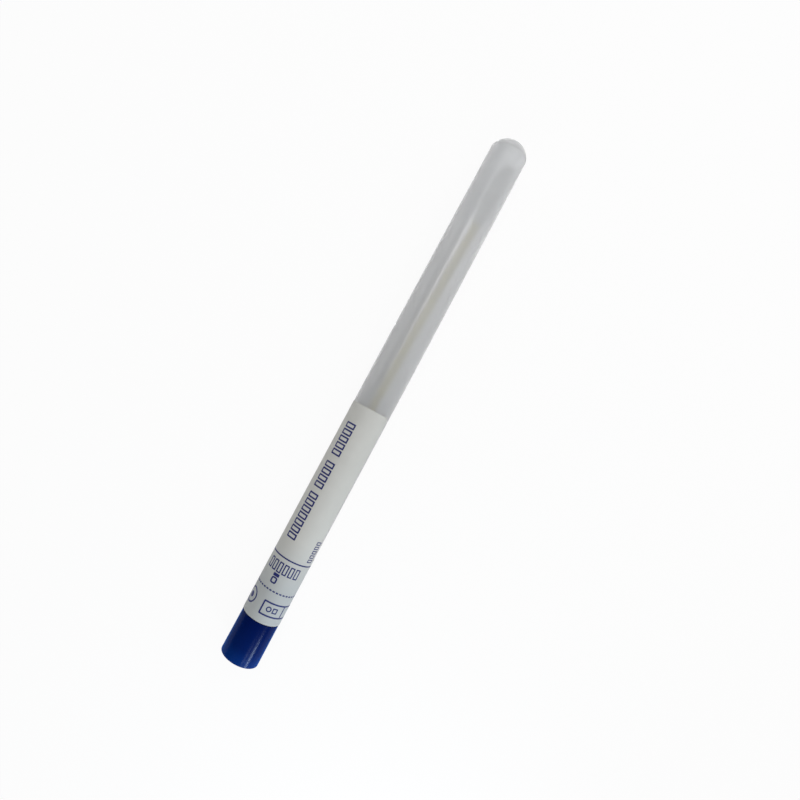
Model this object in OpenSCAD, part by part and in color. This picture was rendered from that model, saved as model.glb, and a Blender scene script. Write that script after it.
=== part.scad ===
// Specimen swab tube: a long closed tube with a paper label, and a swab whose
// stick is held in the stopper cap. It lies on its side along X, with the
// closed end towards -X and the cap towards +X.
//
// Each piece is drawn upright about Z, with the mouth of the tube at z = 0 and
// the closed end above it, so the cap hangs below zero. lay() puts it down.
// Local +X becomes the top of the lying tube, and +Y stays its side.

/* [Tube] */
// Length from the mouth to the tip of the closed end
tube_length = 161; // [150:0.5:180]
// Outer diameter of the straight part
tube_d = 12; // [11.5:0.1:14]
// Outer diameter at the shoulder of the closed end
tip_d = 11.5; // [11.2:0.1:11.5]
// Thickness of the moulded wall
wall = 1; // [0.8:0.1:1]
// Length of the straight part, from the mouth
straight_length = 84; // [74:1:110]
// Height of the domed end above its shoulder
dome_height = 4.2; // [3.6:0.1:5.4]
// Radius of the knuckle between wall and dome
knuckle_r = 1.2; // [1.2:0.1:2]

/* [Label] */
// Length of the label along the tube
label_length = 69.8; // [60:0.2:72]
// Thickness of the paper
paper = 0.1; // [0.08:0.01:0.15]
// Bare stretch between the mouth and the label
label_margin = 0.15; // [0.1:0.05:1]
// Length of the band at the mouth that goes all the way round
band_length = 22; // [15:1:30]
// Angle round from the top of the lying tube to the viewing strip
strip_from = 66; // [50:1:80]
// Angle that the viewing strip leaves open
strip_sweep = 40; // [25:1:50]
// Corner radius of the cut paper
corner_r = 1.5; // [0.5:0.1:2]
// Angle over which the band laps over its own end
lap_sweep = 16; // [8:1:25]

/* [Cap] */
// Length of the grip outside the tube
grip_length = 14.1; // [10:0.1:20]
// Outer diameter of the grip at the mouth of the tube
grip_d = 11.9; // [11.4:0.1:11.9]
// Outer diameter of the grip at its flat end
grip_end_d = 12.1; // [11.9:0.1:12.1]
// Radius of the rim round the flat end
rim_r = 0.3; // [0.2:0.1:0.8]
// Length of the stopper inside the tube
plug_length = 9; // [8:0.5:12]
// Clearance between the bore and the sealing beads, on the radius
seal_gap = 0.04; // [0.02:0.01:0.08]
// How far the sealing beads stand out of the stopper
bead_height = 0.22; // [0.15:0.01:0.3]
// Number of sealing beads
bead_count = 3; // [2:1:3]
// Thickness of the end wall
end_wall = 1.6; // [1.2:0.1:2]
// Thickness of the ribs that hold the socket
rib = 0.8; // [0.6:0.1:1]

/* [Swab] */
// Diameter of the wooden stick
stick_d = 2.4; // [2:0.1:2.6]
// Depth of the stick below the mouth, inside the cap
socket_depth = 4; // [3:0.5:8]
// Radius of the slight bow in the stick
bow_r = 2900; // [2900:50:6000]
// Height above the mouth where the bowed stick crosses the axis again
bow_cross = 74; // [70:1:90]
// Diameter of the cotton bud
bud_d = 5; // [4:0.1:5]
// Length of the cotton bud
bud_length = 20.5; // [15:0.5:21]
// Distance from the tip of the bud to the tip of the closed end
bud_gap = 7; // [6.5:0.5:10]

/* [Hidden] */
$fn = 96;
tube_r = tube_d/2;
tip_r = tip_d/2;
bore_r = tube_r - wall;
shoulder_z = tube_length - dome_height;
mouth_chamfer = 0.3;

label_r = tube_r + paper;
corner_dip = 0.25;
// The lap's far edge and the label's face touch the ground together, so the
// lying tube rests on both and doesn't roll.
lap_to = 180 - acos(label_r/(label_r + paper));

grip_r = grip_d/2;
end_r = grip_end_d/2;
seat_chamfer = 0.2;
seal_r = bore_r - seal_gap;
plug_r = seal_r - bead_height;
plug_nose = 0.6;
bead_land = 0.7;
bead_pitch = (plug_length - 2*plug_nose - bead_land)/bead_count;
boss_r = stick_d/2 + 1.1;
boss_top = plug_length - 1.5;
core_r = plug_r - 1.2;
core_draft = 0.2;
core_bottom = end_wall - grip_length;

bow_z = bow_cross/2;
bow_y = sqrt(bow_r*bow_r - bow_z*bow_z);
stick_bury = bud_length - 3;
bud_tip_z = tube_length - bud_gap;
bud_mid_z = bud_tip_z - bud_length/2;
bud_r = bud_d/2;
bud_neck_r = stick_d/2 + 0.3;
bud_swell = 0.3*bud_length;
bud_tip = 0.18*bud_length;

over = 1;  // how far a cutting shape runs past the face that it cuts
mouth_x = (tube_length + grip_length)/2 - grip_length;

// Lays an upright piece down along X, resting on z = 0.
module lay() {
    translate([mouth_x, 0, label_r]) rotate([0, -90, 0]) children();
}

// Half section of a dome of radius r and height h that stands on y = 0: a
// knuckle arc that leaves the wall square, then a crown arc tangent to it.
module dome_section(r, h, knuckle) {
    drop = (pow(r - knuckle, 2) - pow(h - knuckle, 2))/(2*(h - knuckle));
    crown = h + drop;
    reach = crown/(crown - knuckle);
    intersection() {
        translate([r - knuckle, 0]) circle(knuckle);
        square([r, h]);
    }
    intersection() {
        translate([0, -drop]) circle(crown);
        polygon([[0, 0], [r - knuckle, 0], [(r - knuckle)*reach, drop*(reach - 1)], [r, h], [0, h]]);
    }
}

// Half section of the space inside a wall face of the tube: straight, then
// drawn in to the shoulder, then domed.
module tube_section(r_mouth, r_tip, h, knuckle) {
    polygon([[0, 0], [r_mouth, 0], [r_mouth, straight_length], [r_tip, shoulder_z], [0, shoulder_z]]);
    translate([0, shoulder_z]) dome_section(r_tip, h, knuckle);
}

module tube() {
    color([0.74, 0.75, 0.76]) lay() rotate_extrude() difference() {
        tube_section(tube_r, tip_r, dome_height, knuckle_r);
        tube_section(bore_r, tip_r - wall, dome_height - wall, knuckle_r - 0.8*wall);
        polygon([[0, -over], [bore_r + mouth_chamfer + over, -over], [bore_r, mouth_chamfer], [0, mouth_chamfer]]);
    }
}

// Flat outline of the viewing strip, upright and centred: open at the label's
// top edge, where the paper's two corners are cut round. Each corner's circle
// stands corner_dip above the edge, so that it crosses it and doesn't graze it.
module strip_outline(width, height) {
    centre_y = height - corner_r + corner_dip;
    difference() {
        translate([-width/2 - corner_r, 0]) square([width + 2*corner_r, height + over]);
        for (side = [-1, 1]) translate([side*(width/2 + corner_r), 0]) {
            translate([-corner_r, -over]) square([2*corner_r, centre_y + over]);
            translate([0, centre_y]) circle(corner_r);
        }
    }
}

module label() {
    strip_width = 2*label_r*sin(strip_sweep/2);
    color("whitesmoke") lay() translate([0, 0, label_margin]) {
        difference() {
            cylinder(r = label_r, h = label_length);
            translate([0, 0, -over]) cylinder(r = tube_r, h = label_length + 2*over);
            rotate([0, 0, strip_from + strip_sweep/2]) translate([0, 0, band_length]) rotate([90, 0, 90])
                linear_extrude(label_r + over) strip_outline(strip_width, label_length - band_length);
        }
        rotate([0, 0, lap_to - lap_sweep]) rotate_extrude(angle = lap_sweep)
            translate([label_r - paper/2, 0]) square([1.5*paper, band_length]);
    }
}

// Half section of the solid cap: rounded end, grip, and the beaded stopper.
module cap_section() {
    polygon([
        [0, -grip_length], [end_r - rim_r, -grip_length], [end_r - rim_r, rim_r - grip_length],
        [end_r, rim_r - grip_length], [grip_r, -seat_chamfer], [grip_r - seat_chamfer, 0],
        [plug_r, 0], [plug_r, plug_length - plug_nose], [plug_r - plug_nose, plug_length], [0, plug_length]
    ]);
    translate([end_r - rim_r, rim_r - grip_length]) circle(rim_r);
    for (i = [0:bead_count - 1]) translate([plug_r, plug_nose + bead_land/2 + (i + 0.5)*bead_pitch])
        polygon([
            [-bead_height, -bead_land/2 - 2*bead_height], [bead_height, -bead_land/2],
            [bead_height, bead_land/2], [-bead_height, bead_land/2 + 2*bead_height]
        ]);
}

// Half section of the ring of space left by the core that forms the socket.
module core_section() {
    polygon([
        [boss_r + core_draft, core_bottom], [core_r - core_draft, core_bottom],
        [core_r, plug_length + over], [0, plug_length + over], [0, boss_top], [boss_r, boss_top]
    ]);
}

module cap() {
    color([0.02, 0.1, 0.35]) lay() {
        difference() {
            rotate_extrude() cap_section();
            difference() {
                rotate_extrude() core_section();
                for (a = [0, 90]) rotate([0, 0, a + 45])
                    translate([-core_r, -rib/2, core_bottom - over]) cube([2*core_r, rib, boss_top - core_bottom]);
            }
            stick_shape(over);
        }
    }
}

// The stick as a slightly bowed rod from the bottom of its socket into the
// bud. extra lengthens the end in the bud, for cutting its socket open.
module stick_shape(extra = 0) {
    low = asin((-socket_depth - bow_z)/bow_r);
    high = asin((bud_tip_z - bud_length + stick_bury + extra - bow_z)/bow_r);
    translate([0, bow_y, bow_z]) rotate([90, 0, -90]) rotate([0, 0, low])
        rotate_extrude(angle = high - low, $fn = 3600) translate([bow_r, 0]) circle(d = stick_d, $fn = 48);
}

module stick() {
    color("burlywood") lay() stick_shape();
}

// Half section of the wound cotton from the stick's end: a quick swell off the
// stick, a full middle and a blunt round tip.
function bud_section() = concat(
    [[0, 0]],
    [for (i = [0:8]) [bud_neck_r + (bud_r - bud_neck_r)*sin(90*i/8), bud_swell*i/8]],
    [for (i = [0:12]) [bud_r*pow(cos(90*i/12), 0.85), bud_length - bud_tip + bud_tip*pow(sin(90*i/12), 0.85)]]
);

module bud() {
    color("white") lay() difference() {
        translate([0, bow_y, bow_z]) rotate([-asin((bud_mid_z - bow_z)/bow_r), 0, 0])
            translate([0, -bow_r, -bud_length/2]) rotate_extrude() polygon(bud_section());
        stick_shape();
    }
}

tube();
label();
cap();
stick();
bud();
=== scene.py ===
import math

import bmesh
import bpy
from mathutils import Matrix, Vector, noise


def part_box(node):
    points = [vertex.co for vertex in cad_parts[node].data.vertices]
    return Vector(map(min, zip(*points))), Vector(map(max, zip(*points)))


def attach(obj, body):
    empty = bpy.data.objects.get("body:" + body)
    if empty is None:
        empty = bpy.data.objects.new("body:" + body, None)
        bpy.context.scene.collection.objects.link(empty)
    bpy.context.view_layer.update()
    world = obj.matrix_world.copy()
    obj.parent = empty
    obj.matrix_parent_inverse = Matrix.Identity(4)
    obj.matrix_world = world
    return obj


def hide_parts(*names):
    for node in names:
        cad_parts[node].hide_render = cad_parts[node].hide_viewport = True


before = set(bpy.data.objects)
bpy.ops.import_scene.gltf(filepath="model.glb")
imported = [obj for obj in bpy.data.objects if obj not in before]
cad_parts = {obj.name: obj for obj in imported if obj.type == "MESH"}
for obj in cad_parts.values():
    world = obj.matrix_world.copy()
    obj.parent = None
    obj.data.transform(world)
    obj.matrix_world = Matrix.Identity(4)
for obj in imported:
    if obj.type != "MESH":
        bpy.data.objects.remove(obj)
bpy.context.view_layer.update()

# --- Camera ---------------------------------------------------------------------
# The tube lies on a table, and the camera looks straight down on it from close
# by through a wide lens, turned so that the closed end is up to the right.
mm = 0.001
camera_height = 173 * mm
camera_turn = 118.2
tube_low, tube_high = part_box("tube")
axis_z = (tube_low.z + tube_high.z) / 2
mouth_x = tube_high.x

bpy.context.scene.view_settings.view_transform = "Standard"
camera_data = bpy.data.cameras.new("camera")
camera_data.lens = 25.9
camera_data.sensor_width = 36
camera_data.shift_x = 0.0355
camera_data.shift_y = 0.0106
camera_data.clip_start = 10 * mm
camera = bpy.data.objects.new("camera", camera_data)
camera.location = (3.15 * mm, -0.2 * mm, axis_z + camera_height)
camera.rotation_euler = (0, 0, math.radians(camera_turn))
bpy.context.scene.collection.objects.link(camera)
bpy.context.scene.camera = camera


# --- Table ----------------------------------------------------------------------
# A plain white laminate table top under the tube. What the camera sees of it is
# nearly all its own white, so that only a faint shadow of the tube shows.
def linear(hex_colour):
    """An sRGB hex colour as the linear RGBA that Blender's sockets take."""
    parts = [int(hex_colour[i:i + 2], 16) / 255 for i in (1, 3, 5)]
    return (*[p / 12.92 if p <= 0.04045 else ((p + 0.055) / 1.055) ** 2.4 for p in parts], 1)


def new_material(name):
    material = bpy.data.materials.new(name)
    material.use_nodes = True
    material.node_tree.nodes.clear()
    return material


def add(material, kind, settings=None, links=None):
    """Adds a node. settings gives its sockets and properties their values, and
    links gives its sockets the outputs that feed them."""
    node = material.node_tree.nodes.new(kind)
    for key, value in (settings or {}).items():
        if isinstance(key, int) or key in node.inputs:
            node.inputs[key].default_value = value
        else:
            setattr(node, key, value)
    for key, output in (links or {}).items():
        material.node_tree.links.new(output, node.inputs[key])
    return node


own_white_share = 0.93
laminate = new_material("white_laminate")
ray = add(laminate, "ShaderNodeLightPath")
camera_or_glossy = add(laminate, "ShaderNodeMath", {"operation": "MAXIMUM"},
                       {0: ray.outputs["Is Camera Ray"], 1: ray.outputs["Is Glossy Ray"]})
shown = add(laminate, "ShaderNodeMath", {"operation": "MAXIMUM"},
            {0: camera_or_glossy.outputs[0], 1: ray.outputs["Is Transmission Ray"]})
own_share = add(laminate, "ShaderNodeMath", {"operation": "MULTIPLY", 1: own_white_share},
                {0: shown.outputs[0]})
lit_top = add(laminate, "ShaderNodeBsdfDiffuse", {"Color": linear("#F4F4F4")})
own_white = add(laminate, "ShaderNodeEmission", {"Color": (1, 1, 1, 1), "Strength": 1.0})
top_mix = add(laminate, "ShaderNodeMixShader", {},
              {0: own_share.outputs[0], 1: lit_top.outputs[0], 2: own_white.outputs[0]})
add(laminate, "ShaderNodeOutputMaterial", {}, {"Surface": top_mix.outputs[0]})

bm = bmesh.new()
bmesh.ops.create_grid(bm, x_segments=1, y_segments=1, size=3)
table_mesh = bpy.data.meshes.new("table")
bm.to_mesh(table_mesh)
bm.free()
table_mesh.materials.append(laminate)
table = bpy.data.objects.new("table", table_mesh)
bpy.context.scene.collection.objects.link(table)

# --- Light ----------------------------------------------------------------------
# A softbox hangs over the tube's closed half, with a bright rim on its left and
# a shoulder on its right. Weaker ones stand at both sides and beyond both ends,
# and two small cool lamps on the right put the streaks in the cap.
room_light = 0.08  # the white room lights things this much, and shows in full
world = bpy.data.worlds.new("white_room")
world.use_nodes = True
world.node_tree.nodes.clear()
sight = add(world, "ShaderNodeLightPath")
dim = add(world, "ShaderNodeMapRange", {"To Min": room_light, "To Max": 1.0},
          {"Value": sight.outputs["Is Camera Ray"]})
air = add(world, "ShaderNodeBackground", {"Color": (1, 1, 1, 1)}, {"Strength": dim.outputs[0]})
add(world, "ShaderNodeOutputWorld", {}, {"Surface": air.outputs[0]})
bpy.context.scene.world = world


def softbox(name, place, aim, width, height, radiance, colour=(1, 1, 1)):
    """A lamp of width by height, in metres, at a place, that faces the point aim."""
    data = bpy.data.lights.new(name, "AREA")
    data.shape = "RECTANGLE"
    data.size = width
    data.size_y = height
    data.energy = radiance * math.pi * width * height
    data.color = colour
    lamp = bpy.data.objects.new(name, data)
    lamp.location = place
    lamp.rotation_euler = (Vector(aim) - Vector(place)).to_track_quat("-Z", "Y").to_euler()
    lamp.visible_camera = False
    bpy.context.scene.collection.objects.link(lamp)


softbox("overhead_box", (-0.165, 0.05, 0.5), (-0.165, 0.05, 0), 0.33, 0.4, 1.95)
softbox("overhead_rim", (-0.165, -0.165, 0.5), (-0.165, -0.165, 0), 0.33, 0.03, 6.5)
softbox("shoulder_box", (-0.33, 0.5, 0.5), (-0.33, 0.5, 0), 0.66, 0.5, 0.96)
softbox("right_box", (-0.33, 0.9, 0.3), (-0.33, 0, 0.3), 0.66, 0.6, 1.05)
softbox("left_box", (-0.25, -0.9, 0.3), (-0.25, 0, 0.3), 0.5, 0.6, 1.0)
softbox("closed_end_box", (-1.0, 0, 0.6), (0, 0, 0.6), 2.0, 1.2, 0.78)
softbox("cap_end_box", (1.0, 0.4, 0.5), (0, 0.4, 0.5), 2.0, 1.0, 1.15)
softbox("strip", (0.162, 0.105, 0.063), (0.162, 0, 0.006), 0.05, 0.0155, 32.0, (0.66, 0.83, 1))
softbox("short_strip", (0.29, 0.17, 0.25), (0.29, 0, 0), 0.09, 0.05, 6.0, (0.64, 0.82, 1))

# --- Tube -----------------------------------------------------------------------
# Injection-moulded polypropylene, closed at one end by a dome. Its wall is 1 mm
# thick and slightly drawn in towards the dome, and its milky surface is frosted.
wall = 1.0 * mm
taper = 0.25 * mm
straight_length = 84 * mm
dome_height = 4.2 * mm
knuckle_r, inner_knuckle_r = 1.2 * mm, 0.4 * mm
mouth_edge, mouth_chamfer = 0.1 * mm, 0.3 * mm
tube_r = (tube_high.y - tube_low.y) / 2
tip_r = tube_r - taper
straight_x = mouth_x - straight_length
shoulder_x = tube_low.x + dome_height
round_steps, crown_steps, knuckle_steps = 128, 20, 6
same_point = 0.001 * mm


def line_to(bm, vert, x, r):
    """Draws a line of a half section from vert to radius r at x, and returns its end."""
    end = bmesh.ops.extrude_vert_indiv(bm, verts=[vert])["verts"][0]
    end.co = (x, 0, axis_z + r)
    return end


def arc_on(bm, vert, x, r, degrees, steps):
    """Draws an arc of a half section from vert round x and radius r, and returns its end."""
    made = bmesh.ops.spin(bm, geom=[vert], cent=(x, 0, axis_z + r), axis=(0, 1, 0),
                          angle=math.radians(degrees), steps=steps)
    return [v for v in made["geom_last"] if isinstance(v, bmesh.types.BMVert)][0]


def turn(bm, steps=round_steps):
    """Spins a half section once round the tube's axis into a closed skin."""
    bmesh.ops.spin(bm, geom=bm.verts[:] + bm.edges[:], cent=(0, 0, axis_z), axis=(1, 0, 0),
                   angle=math.tau, steps=steps, use_merge=True)
    bmesh.ops.remove_doubles(bm, verts=bm.verts, dist=same_point)
    bmesh.ops.dissolve_degenerate(bm, edges=bm.edges, dist=same_point / 2)
    bmesh.ops.recalc_face_normals(bm, faces=bm.faces)


def finish_piece(name, bm, material, body, crease=35):
    """Makes bm an object that rides on a body. Edges sharper than crease degrees stay sharp."""
    mesh = bpy.data.meshes.new(name)
    bm.to_mesh(mesh)
    bm.free()
    mesh.materials.append(material)
    mesh.shade_smooth()
    mesh.set_sharp_from_angle(angle=math.radians(crease))
    piece = bpy.data.objects.new(name, mesh)
    bpy.context.scene.collection.objects.link(piece)
    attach(piece, body)
    return piece


def dome(bm, vert, r, height, knuckle, outwards):
    """Draws a dome, from the axis to the wall if outwards is 1, and back if it is -1."""
    drop = ((r - knuckle) ** 2 - (height - knuckle) ** 2) / (2 * (height - knuckle))
    crown_degrees = math.degrees(math.atan2(r - knuckle, drop))
    crown = (shoulder_x + drop, 0, crown_degrees, crown_steps)
    bend = (shoulder_x, r - knuckle, 90 - crown_degrees, knuckle_steps)
    for x, centre_r, degrees, steps in (crown, bend)[::outwards]:
        vert = arc_on(bm, vert, x, centre_r, outwards * degrees, steps)
    return vert


bm = bmesh.new()
start = bm.verts.new((tube_low.x, 0, axis_z))
end = dome(bm, start, tip_r, shoulder_x - tube_low.x, knuckle_r, 1)
end = line_to(bm, end, straight_x, tube_r)
end = line_to(bm, end, mouth_x - mouth_edge, tube_r)
end = line_to(bm, end, mouth_x, tube_r - mouth_edge)
end = line_to(bm, end, mouth_x, tube_r - wall + mouth_chamfer)
end = line_to(bm, end, mouth_x - mouth_chamfer, tube_r - wall)
end = line_to(bm, end, straight_x, tube_r - wall)
end = line_to(bm, end, shoulder_x, tip_r - wall)
dome(bm, end, tip_r - wall, shoulder_x - tube_low.x - wall, inner_knuckle_r, -1)
turn(bm)

# Milky polypropylene: light passes and scatters, so the swab inside is a soft
# shadow. Its colour carries a painted shade that darkens it towards the label,
# so towards the dome it is a little paler, and it is also more frosted there.
# The fine bump is the mould's spark-eroded finish, 0.25 mm across.
frosted = new_material("frosted_polypropylene")
place = add(frosted, "ShaderNodeTexCoord")
haze = add(frosted, "ShaderNodeTexNoise", {"Scale": 180.0, "Detail": 3.0},
           {"Vector": place.outputs["Object"]})
axes = add(frosted, "ShaderNodeSeparateXYZ", {}, {"Vector": place.outputs["Object"]})
# Painted shade: the milky colour is painted darker from the dome towards the label.
painted_label_shade = add(frosted, "ShaderNodeMapRange",
               {"From Min": 5 * mm, "From Max": -75 * mm, "To Min": 0.0, "To Max": 0.7},
               {"Value": axes.outputs["X"]})
haze_and_painted_shade = add(frosted, "ShaderNodeMath", {"operation": "MULTIPLY_ADD", 1: 0.3},
            {0: haze.outputs[0], 2: painted_label_shade.outputs[0]})
frost = add(frosted, "ShaderNodeMapRange",
            {"From Min": 5 * mm, "From Max": -45 * mm, "To Min": 0.282, "To Max": 0.32},
            {"Value": axes.outputs["X"]})
milky = add(frosted, "ShaderNodeValToRGB", {}, {"Fac": haze_and_painted_shade.outputs[0]})
milky.color_ramp.elements[0].color = linear("#DEDFE0")
milky.color_ramp.elements[1].color = linear("#F8F9FA")
grain = add(frosted, "ShaderNodeTexNoise", {"Scale": 4000.0, "Detail": 2.0},
            {"Vector": place.outputs["Object"]})
bump = add(frosted, "ShaderNodeBump", {"Strength": 0.06, "Distance": 0.02 * mm},
           {"Height": grain.outputs[0]})
plastic = add(frosted, "ShaderNodeBsdfPrincipled",
              {"IOR": 1.49, "Transmission Weight": 0.75,
               "Coat Weight": 0.5, "Coat Roughness": 0.2, "Coat IOR": 1.5},
              {"Base Color": milky.outputs[0], "Roughness": frost.outputs[0],
               "Normal": bump.outputs[0]})
add(frosted, "ShaderNodeOutputMaterial", {}, {"Surface": plastic.outputs[0]})

tube = finish_piece("moulded_tube", bm, frosted, "tube_body")
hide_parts("tube")

# --- Label ----------------------------------------------------------------------
# A self-adhesive paper label wrapped once round the tube. Its band laps over
# its own end underneath, and a strip left open on the right shows the inside.
label_low, label_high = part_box("label")
label_top_x, label_foot_x = label_low.x, label_high.x
label_r = label_high.z - axis_z
sheet = 0.1 * mm  # the paper with its print, and room to spare
paper = 0.085 * mm
corner_r = 1.5 * mm
band_length = 22 * mm
band_x = label_foot_x - band_length
strip_from, strip_to = 66, 106  # degrees from the top
lap_to = 180 - math.degrees(math.acos(label_r / (label_r + sheet)))
lap_sweep = 16
lap_from = lap_to - lap_sweep
lap_step = 0.5 * mm  # the lap climbs on to the band over this much paper
lap_trim = 0.05 * mm  # above the band, the paper's two sides stop this far apart
facet_degrees = 3
close_by = 0.01 * mm


def way_round(degrees):
    return math.radians(degrees) * label_r


def score(bm, x, y, across):
    """Cuts flat work through x and y along a line at right angles to across."""
    bmesh.ops.bisect_plane(bm, geom=bm.verts[:] + bm.edges[:] + bm.faces[:], dist=0.0001 * mm,
                           plane_co=(x, y, 0), plane_no=across)


def round_cuts(bm, degrees_from, degrees_to):
    """Cuts flat work across its width, so that it can bend round the tube."""
    count = int((degrees_to - degrees_from) / facet_degrees)
    for i in range(1, count):
        y = way_round(degrees_from + (degrees_to - degrees_from) * i / count)
        score(bm, 0, y, (0, 1, 0))


def wrap(bm):
    """Bends flat work round the tube. y is the way round from the top, measured
    on the label's face, and z the height above that face."""
    for v in bm.verts:
        angle = v.co.y / label_r
        r = label_r + v.co.z
        v.co = (v.co.x, r * math.sin(angle), axis_z + r * math.cos(angle))


def flat_patch(bm, x_from, x_to, y_from, y_to):
    """Adds a flat rectangle, and returns its corners."""
    made = bmesh.ops.create_grid(bm, x_segments=1, y_segments=1, size=0.5)["verts"]
    bmesh.ops.scale(bm, vec=(x_to - x_from, y_to - y_from, 1), verts=made)
    bmesh.ops.translate(bm, vec=((x_from + x_to) / 2, (y_from + y_to) / 2, 0), verts=made)
    return made


def thicken(bm, thickness):
    """Makes flat work a closed sheet, thickened upwards."""
    made = bmesh.ops.extrude_face_region(bm, geom=bm.faces[:])["geom"]
    bmesh.ops.translate(bm, vec=(0, 0, thickness),
                        verts=[v for v in made if isinstance(v, bmesh.types.BMVert)])


def cut_out(bm, y):
    """Cuts away the piece of the sheet above the band that lies nearest to y."""
    middles = {face: face.calc_center_median() for face in bm.faces}
    above = [face for face in bm.faces if middles[face].x < band_x]
    piece = min(above, key=lambda face: abs(middles[face].y - y))
    bmesh.ops.delete(bm, geom=[piece], context="FACES")


bm = bmesh.new()
strip_sides = (way_round(strip_from + 360), way_round(strip_to + 360))
lap_side = way_round(lap_from + 360)
flat_patch(bm, label_top_x, label_foot_x, way_round(lap_from), way_round(lap_to + 360))
for side in strip_sides:
    score(bm, 0, side, (0, 1, 0))
score(bm, band_x, 0, (1, 0, 0))
score(bm, 0, lap_side - lap_trim, (0, 1, 0))
cut_out(bm, sum(strip_sides) / 2)
cut_out(bm, way_round(lap_to + 360))
corners = [v for v in bm.verts if v.co.x < label_top_x + close_by
           and min(abs(v.co.y - side) for side in strip_sides) < close_by]
bmesh.ops.bevel(bm, geom=corners, offset=corner_r, affect="VERTICES", segments=6, profile=0.5,
                material=-1)
round_cuts(bm, lap_from, lap_to + 360)
for v in bm.verts:
    v.co.z = -sheet
    rise = (v.co.y - lap_side) / lap_step + 0.5
    v.co.z += sheet * min(max(rise, 0), 1)
thicken(bm, paper)
wrap(bm)
bmesh.ops.recalc_face_normals(bm, faces=bm.faces)

# Uncoated label paper: a smooth, matt white face with a faint cloudy tone and
# fibres 0.3 mm across that just catch the light. Next to the mouth a painted
# shade makes it a little darker and cooler, for the blue stopper behind it. A
# colour mix takes its share in socket 0 and its two colours in sockets 6 and 7.
label_paper = new_material("label_paper")
place = add(label_paper, "ShaderNodeTexCoord")
cloud = add(label_paper, "ShaderNodeTexNoise", {"Scale": 260.0, "Detail": 4.0},
            {"Vector": place.outputs["Object"]})
tone = add(label_paper, "ShaderNodeValToRGB", {}, {"Fac": cloud.outputs[0]})
tone.color_ramp.elements[0].color = linear("#CCCCC7")
tone.color_ramp.elements[1].color = linear("#D4D4CF")
axes = add(label_paper, "ShaderNodeSeparateXYZ", {}, {"Vector": place.outputs["Object"]})
# Painted shade: the paper's colour darkens and cools towards the mouth.
mouth_shade_share = add(label_paper, "ShaderNodeMapRange",
             {"From Min": mouth_x - 26 * mm, "From Max": mouth_x - 10 * mm,
              "To Min": 0.0, "To Max": 1.0},
             {"Value": axes.outputs["X"]})
painted_stopper_shade = add(label_paper, "ShaderNodeMix", {"data_type": "RGBA", 7: linear("#B9BDBD")},
           {0: mouth_shade_share.outputs[0], 6: tone.outputs[0]})
fibre = add(label_paper, "ShaderNodeTexNoise", {"Scale": 3300.0, "Detail": 3.0},
            {"Vector": place.outputs["Object"]})
bump = add(label_paper, "ShaderNodeBump", {"Strength": 0.2, "Distance": 0.01 * mm},
           {"Height": fibre.outputs[0]})
face = add(label_paper, "ShaderNodeBsdfPrincipled", {"Roughness": 0.62, "IOR": 1.5},
           {"Base Color": painted_stopper_shade.outputs[2], "Normal": bump.outputs[0]})
add(label_paper, "ShaderNodeOutputMaterial", {}, {"Surface": face.outputs[0]})
label = finish_piece("paper_label", bm, label_paper, "tube_body")
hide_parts("label")

# --- Print ----------------------------------------------------------------------
# Dark blue ink on the paper's face: a line of write-in boxes along the label,
# and a ruled field with boxes, plain symbols and a framed panel on the band.
ink_line, number_line, symbol_line, small_line = 0.48 * mm, 0.38 * mm, 0.36 * mm, 0.3 * mm
ink_low, ink_film = -0.017 * mm, 0.012 * mm
print_from, print_to = -190, 154  # how far round the print goes, in degrees


def hollow_out(bm, field, line):
    """Leaves only the outline of a printed field, as wide as line."""
    bmesh.ops.inset_region(bm, faces=[field], thickness=line, use_boundary=True,
                           use_even_offset=True)
    bmesh.ops.delete(bm, geom=[field], context="FACES")


def printed(bm, reach_from, reach_to, degrees_from, degrees_to, line=0, corner=0):
    """Prints a field between two reaches, in mm above the mouth, and two angles.
    A line leaves only an outline of that width, and a corner rounds its corners."""
    corners = flat_patch(bm, mouth_x - reach_to * mm, mouth_x - reach_from * mm,
                         way_round(degrees_from), way_round(degrees_to))
    if corner:
        corners = bmesh.ops.bevel(bm, geom=corners, offset=corner, affect="VERTICES", segments=3,
                                  profile=0.5, material=-1)["verts"]
    if line:
        hollow_out(bm, corners[0].link_faces[0], line)


def printed_disc(bm, radius, reach, degrees, line=0):
    """Prints a disc of a radius in mm, or a ring if it has a line's width."""
    rim = bmesh.ops.create_circle(bm, cap_ends=True, radius=radius * mm, segments=40)["verts"]
    bmesh.ops.translate(bm, verts=rim, vec=(mouth_x - reach * mm, way_round(degrees), 0))
    if line:
        hollow_out(bm, rim[0].link_faces[0], line)


bm = bmesh.new()
# The line of write-in boxes, and the small row beside its foot.
for first, count in ((25.8, 7), (42.6, 4), (53.3, 5)):
    for i in range(count):
        low = first + 2.2 * i
        printed(bm, low, low + 1.8, -49, -17, ink_line, 0.15 * mm)
for i in range(5):
    printed(bm, 21.4 + 1.45 * i, 22.5 + 1.45 * i, 46.5, 66, small_line, 0.1 * mm)
# The solid rule, the number's boxes, the bar and small box, and the dashed rule.
printed(bm, 19.9, 20.32, print_from, 153)
for i in range(6):
    printed(bm, 15.4, 18.7, -59 + 17.5 * i, -45.5 + 17.5 * i, number_line, 0.15 * mm)
printed(bm, 14.15, 15.1, -26, -7.5)
printed(bm, 11.95, 14.0, -26, -7.5, ink_line, 0.6 * mm)
for i in range(34):
    printed(bm, 9.78, 10.22, print_from + 10.3 * i, -182.9 + 10.3 * i)
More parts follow.
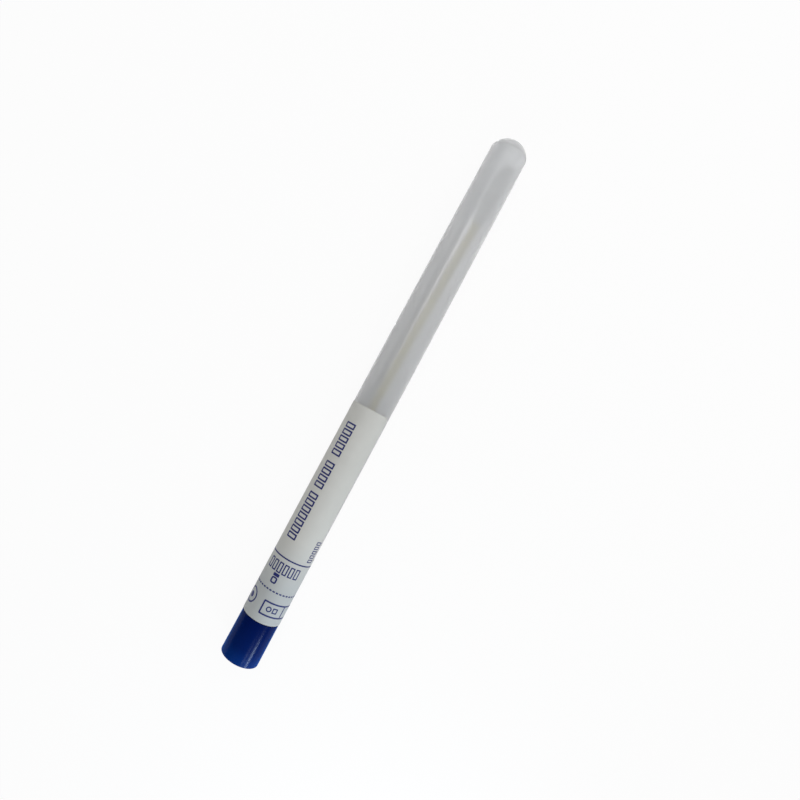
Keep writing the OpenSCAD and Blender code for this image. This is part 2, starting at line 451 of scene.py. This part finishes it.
# The ring with its dot, and the framed panel with a ring, a bar and a square.
printed_disc(bm, 2.5, 5.5, -62.5, ink_line)
printed_disc(bm, 0.9, 5.5, -62.5)
printed_disc(bm, 0.85, 4.8, 10, symbol_line)
printed(bm, 2.55, 7.0, -13, 120, ink_line, 0.3 * mm)
printed(bm, 2.6, 6.95, 52.6, 56.4)
printed(bm, 3.95, 5.65, 21, 36, symbol_line, 0.1 * mm)
round_cuts(bm, print_from, print_to)
bmesh.ops.translate(bm, verts=bm.verts, vec=(0, 0, ink_low))
thicken(bm, ink_film)
wrap(bm)
bmesh.ops.recalc_face_normals(bm, faces=bm.faces)

# Offset ink: a slightly uneven dark blue film that dulls where the paper's
# fibres, 0.3 mm across, come through.
ink = new_material("label_ink")
place = add(ink, "ShaderNodeTexCoord")
film = add(ink, "ShaderNodeTexNoise", {"Scale": 3300.0, "Detail": 3.0},
           {"Vector": place.outputs["Object"]})
pigment = add(ink, "ShaderNodeValToRGB", {}, {"Fac": film.outputs[0]})
pigment.color_ramp.elements[0].color = linear("#10185A")
pigment.color_ramp.elements[0].position = 0.35
pigment.color_ramp.elements[1].color = linear("#263076")
pigment.color_ramp.elements[1].position = 0.65
dry_ink = add(ink, "ShaderNodeBsdfPrincipled", {"Roughness": 0.5, "IOR": 1.5},
              {"Base Color": pigment.outputs[0]})
add(ink, "ShaderNodeOutputMaterial", {}, {"Surface": dry_ink.outputs[0]})
finish_piece("printed_marks", bm, ink, "tube_body")

# --- Cap ------------------------------------------------------------------------
# One piece of moulded low-density polyethylene: a grip with a flat end, and a
# hollow stopper with three sealing beads that goes into the tube's mouth.
cap_low, cap_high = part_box("cap")
stopper_x, end_x = cap_low.x, cap_high.x
end_r = (cap_high.y - cap_low.y) / 2
grip_r = 5.95 * mm
rim_r = 0.3 * mm
seat_chamfer = 0.2 * mm
seal_gap = 0.04 * mm
bead_count = 3
bead_height = 0.22 * mm
bead_land = 0.7 * mm
nose = 0.6 * mm
seal_r = tube_r - wall - seal_gap
stopper_r = seal_r - bead_height
bead_pitch = (mouth_x - stopper_x - 2 * nose - bead_land) / bead_count
stopper_wall = 1.2 * mm
end_wall = 1.6 * mm
core_r = stopper_r - stopper_wall
core_x = end_x - end_wall
core_draft = 0.2 * mm
boss_r = 2.3 * mm
boss_recess = 1.5 * mm
boss_x = stopper_x + boss_recess
stick_r = 1.2 * mm
socket_depth = 4 * mm

bm = bmesh.new()
end = bm.verts.new((end_x, 0, axis_z))
end = line_to(bm, end, end_x, end_r - rim_r)
end = arc_on(bm, end, end_x - rim_r, end_r - rim_r, -90, 5)
end = line_to(bm, end, mouth_x + seat_chamfer, grip_r)
end = line_to(bm, end, mouth_x, grip_r - seat_chamfer)
end = line_to(bm, end, mouth_x, stopper_r)
for i in range(bead_count):
    bead_x = mouth_x - nose - bead_land / 2 - (i + 0.5) * bead_pitch
    end = line_to(bm, end, bead_x + bead_land / 2 + bead_height, stopper_r)
    end = line_to(bm, end, bead_x + bead_land / 2, seal_r)
    end = line_to(bm, end, bead_x - bead_land / 2, seal_r)
    end = line_to(bm, end, bead_x - bead_land / 2 - bead_height, stopper_r)
end = line_to(bm, end, stopper_x + nose, stopper_r)
end = line_to(bm, end, stopper_x, stopper_r - nose)
end = line_to(bm, end, stopper_x, core_r)
end = line_to(bm, end, core_x, core_r - core_draft)
end = line_to(bm, end, core_x, boss_r + core_draft)
end = line_to(bm, end, boss_x, boss_r)
end = line_to(bm, end, boss_x, stick_r)
end = line_to(bm, end, mouth_x + socket_depth, stick_r)
end = line_to(bm, end, mouth_x + socket_depth, 0)
turn(bm)

# Four ribs stand between the wall and the socket, as deep as the hollow. Each
# is sunk into what it joins, and its free edges are rounded.
rib_count = 4
rib_width = 0.8 * mm
rib_set_back = 0.05 * mm
rib_edge_r = 0.2 * mm
sunk = 0.3 * mm
for i in range(rib_count):
    rib = bmesh.ops.create_cube(bm, size=1)["verts"]
    size = (core_x + sunk - boss_x, rib_width, core_r - boss_r + 2 * sunk)
    middle = ((core_x + sunk + boss_x) / 2 + rib_set_back, 0, (core_r + boss_r) / 2)
    bmesh.ops.scale(bm, vec=size, verts=rib)
    bmesh.ops.translate(bm, vec=middle, verts=rib)
    free_x = min(v.co.x for v in rib) + close_by
    edges = {edge for v in rib for edge in v.link_edges
             if all(corner.co.x < free_x for corner in edge.verts)}
    rounded = bmesh.ops.bevel(bm, geom=list(edges), offset=rib_edge_r, affect="EDGES", segments=3,
                              profile=0.5, material=-1)
    rib = list({v for v in rib if v.is_valid} | set(rounded["verts"]))
    bmesh.ops.rotate(bm, verts=rib, cent=(0, 0, 0),
                     matrix=Matrix.Rotation(math.radians(45 + 90 * i), 3, "X"))
    bmesh.ops.translate(bm, verts=rib, vec=(0, 0, axis_z))
bmesh.ops.recalc_face_normals(bm, faces=bm.faces)

# Blue polyethylene, painted darker by the mouth and lighter towards the flat
# end, a painted shade and painted light. It has a thin gloss, a blue glow where
# its sides turn away, and a faint orange-peel ripple 0.8 mm across.
blue_plastic = new_material("blue_polyethylene")
place = add(blue_plastic, "ShaderNodeTexCoord")
ripple = add(blue_plastic, "ShaderNodeTexNoise", {"Scale": 1200.0, "Detail": 1.0},
             {"Vector": place.outputs["Object"]})
bump = add(blue_plastic, "ShaderNodeBump", {"Strength": 0.15, "Distance": 0.02 * mm},
           {"Height": ripple.outputs[0]})
gloss = add(blue_plastic, "ShaderNodeTexNoise", {"Scale": 300.0, "Detail": 2.0},
            {"Vector": place.outputs["Object"]})
rough = add(blue_plastic, "ShaderNodeMapRange", {"To Min": 0.35, "To Max": 0.45},
            {"Value": gloss.outputs[0]})
axes = add(blue_plastic, "ShaderNodeSeparateXYZ", {}, {"Vector": place.outputs["Object"]})
# Painted shade and light: the blue darkens by the mouth and lightens towards the flat end.
painted_end_light = add(blue_plastic, "ShaderNodeMapRange", {"From Min": mouth_x, "From Max": end_x},
            {"Value": axes.outputs["X"]})
blue = add(blue_plastic, "ShaderNodeValToRGB", {}, {"Fac": painted_end_light.outputs[0]})
blue.color_ramp.elements[0].color = linear("#00114D")
blue.color_ramp.elements[1].color = linear("#053078")
blue.color_ramp.elements.new(0.65).color = linear("#021C5B")
resin = add(blue_plastic, "ShaderNodeBsdfPrincipled",
            {"IOR": 1.51, "Specular IOR Level": 0.0,
             "Coat Weight": 0.08, "Coat Roughness": 0.22, "Coat IOR": 2.0,
             "Sheen Weight": 0.62, "Sheen Roughness": 0.35, "Sheen Tint": linear("#1E86FF")},
            {"Base Color": blue.outputs[0], "Roughness": rough.outputs[0],
             "Normal": bump.outputs[0]})
add(blue_plastic, "ShaderNodeOutputMaterial", {}, {"Surface": resin.outputs[0]})
cap = finish_piece("stopper_cap", bm, blue_plastic, "swab_body")
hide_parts("cap")

# --- Stick ----------------------------------------------------------------------
# A turned birch stick, 2.4 mm across and slightly bowed. One end is pushed into
# the cap's socket, and the cotton bud is wound on the other.
bow_r = 2900 * mm
bow_half = 37 * mm
bow_centre = Vector((mouth_x - bow_half, math.sqrt(bow_r ** 2 - bow_half ** 2), axis_z))
bud_tip_reach = mouth_x - (tube_low.x + 7 * mm)
past_stick = 3 * mm  # the bud goes this much further than the stick


def along_bow(reach):
    """The turn round the bow's centre from its middle to a reach above the mouth."""
    return math.asin((reach - bow_half) / bow_r)


def on_bow(bm, verts, reach):
    """Carries what stands at the bow's middle along the bow to a reach above the mouth."""
    bmesh.ops.rotate(bm, verts=verts, cent=bow_centre,
                     matrix=Matrix.Rotation(-along_bow(reach), 3, "Z"))


bm = bmesh.new()
ring = bmesh.ops.create_circle(bm, cap_ends=True, radius=stick_r, segments=32)["verts"]
bmesh.ops.rotate(bm, verts=ring, cent=(0, 0, 0),
                 matrix=Matrix.Rotation(math.radians(90), 3, "Y"))
bmesh.ops.translate(bm, verts=ring, vec=(bow_centre.x, bow_centre.y - bow_r, axis_z))
on_bow(bm, ring, -socket_depth)
stick_sweep = along_bow(bud_tip_reach - past_stick) - along_bow(-socket_depth)
bmesh.ops.spin(bm, geom=bm.verts[:] + bm.edges[:] + bm.faces[:], cent=bow_centre,
               axis=(0, 0, 1), angle=-stick_sweep, steps=60)
bmesh.ops.remove_doubles(bm, verts=bm.verts, dist=same_point)
bmesh.ops.recalc_face_normals(bm, faces=bm.faces)

# Birch: fine fibres that run along the stick, 16 mm long, pale by the bud and
# yellower towards the cap. They are drawn 0.3 mm wide, twice as wide as they
# are, so that they show.
birch = new_material("birch")
place = add(birch, "ShaderNodeTexCoord")
run = add(birch, "ShaderNodeMapping", {"Scale": (60, 3300, 3300)},
          {"Vector": place.outputs["Object"]})
fibres = add(birch, "ShaderNodeTexNoise", {"Scale": 1.0, "Detail": 4.0},
             {"Vector": run.outputs[0]})
wood = add(birch, "ShaderNodeValToRGB", {}, {"Fac": fibres.outputs[0]})
wood.color_ramp.elements[0].color = linear("#D8CC9B")
wood.color_ramp.elements[0].position = 0.3
wood.color_ramp.elements[1].color = linear("#EBE3BC")
wood.color_ramp.elements[1].position = 0.7
axes = add(birch, "ShaderNodeSeparateXYZ", {}, {"Vector": place.outputs["Object"]})
heart = add(birch, "ShaderNodeMapRange", {"From Min": -70 * mm, "From Max": 0.0},
            {"Value": axes.outputs["X"]})
grown = add(birch, "ShaderNodeMix",
            {"data_type": "RGBA", "blend_type": "MULTIPLY", 7: linear("#FAF6B4")},
            {0: heart.outputs[0], 6: wood.outputs[0]})
bump = add(birch, "ShaderNodeBump", {"Strength": 0.2, "Distance": 0.03 * mm},
           {"Height": fibres.outputs[0]})
timber = add(birch, "ShaderNodeBsdfPrincipled", {"Roughness": 0.6},
             {"Base Color": grown.outputs[2], "Normal": bump.outputs[0]})
add(birch, "ShaderNodeOutputMaterial", {}, {"Surface": timber.outputs[0]})
stick = finish_piece("birch_stick", bm, birch, "swab_body")
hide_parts("stick")

# --- Bud ------------------------------------------------------------------------
# Cotton fibre wound tight on the end of the stick, in a long oval bud with a
# blunt tip, and with a soft nap on its face.
bud_r = 2.5 * mm
bud_length = 20.5 * mm
swell, straight, tip = 0.3, 0.52, 0.18  # shares of the bud's length
bluntness = 0.85
swell_steps, straight_steps, tip_steps = 8, 20, 12
neck_r = stick_r + 0.3 * mm
neck_x = bow_centre.x + bud_length / 2
tip_x = bow_centre.x - bud_length / 2
winding_rate, lump_rate = 1.9, 700  # radians a mm, and lumps a metre
sink, winding_depth, lump_depth = 0.07, 0.05, 0.1  # all in mm
wound_from = 1.3 * mm

bm = bmesh.new()
end = bm.verts.new((neck_x, 0, axis_z))
for i in range(swell_steps + 1):
    rise = math.sin(math.pi / 2 * i / swell_steps)
    end = line_to(bm, end, neck_x - swell * bud_length * i / swell_steps,
                  neck_r + (bud_r - neck_r) * rise)
for i in range(1, straight_steps):
    end = line_to(bm, end, neck_x - bud_length * (swell + straight * i / straight_steps), bud_r)
for i in range(tip_steps + 1):
    a = math.pi / 2 * i / tip_steps
    end = line_to(bm, end, tip_x + tip * bud_length * (1 - math.sin(a) ** bluntness),
                  bud_r * max(math.cos(a), 0) ** bluntness)
turn(bm, steps=64)
for v in bm.verts:
    out = Vector((0, v.co.y, v.co.z - axis_z))
    if out.length > wound_from:
        around = math.atan2(out.y, out.z)
        winding = math.sin((v.co.x / mm) * winding_rate + around * 2)
        lump = noise.noise(v.co * lump_rate)
        v.co -= out.normalized() * mm * (sink + winding_depth * winding + lump_depth * lump)
bmesh.ops.translate(bm, verts=bm.verts, vec=(0, bow_centre.y - bow_r, 0))
on_bow(bm, bm.verts, bud_tip_reach - bud_length / 2)

# Cotton: matt white fibres laid round the bud, 0.2 mm wide.
cotton = new_material("wound_cotton")
place = add(cotton, "ShaderNodeTexCoord")
lie = add(cotton, "ShaderNodeMapping", {"Scale": (5000, 900, 900)},
          {"Vector": place.outputs["Object"]})
strands = add(cotton, "ShaderNodeTexNoise", {"Scale": 1.0, "Detail": 5.0, "Distortion": 0.4},
              {"Vector": lie.outputs[0]})
shade = add(cotton, "ShaderNodeValToRGB", {}, {"Fac": strands.outputs[0]})
shade.color_ramp.elements[0].color = linear("#DCDCDA")
shade.color_ramp.elements[1].color = linear("#F6F6F4")
bump = add(cotton, "ShaderNodeBump", {"Strength": 0.7, "Distance": 0.08 * mm},
           {"Height": strands.outputs[0]})
fluff = add(cotton, "ShaderNodeBsdfPrincipled",
            {"Roughness": 0.95, "Sheen Weight": 0.4, "Sheen Roughness": 0.5},
            {"Base Color": shade.outputs[0], "Normal": bump.outputs[0]})
add(cotton, "ShaderNodeOutputMaterial", {}, {"Surface": fluff.outputs[0]})
bud = finish_piece("cotton_bud", bm, cotton, "swab_body", crease=180)
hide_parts("bud")
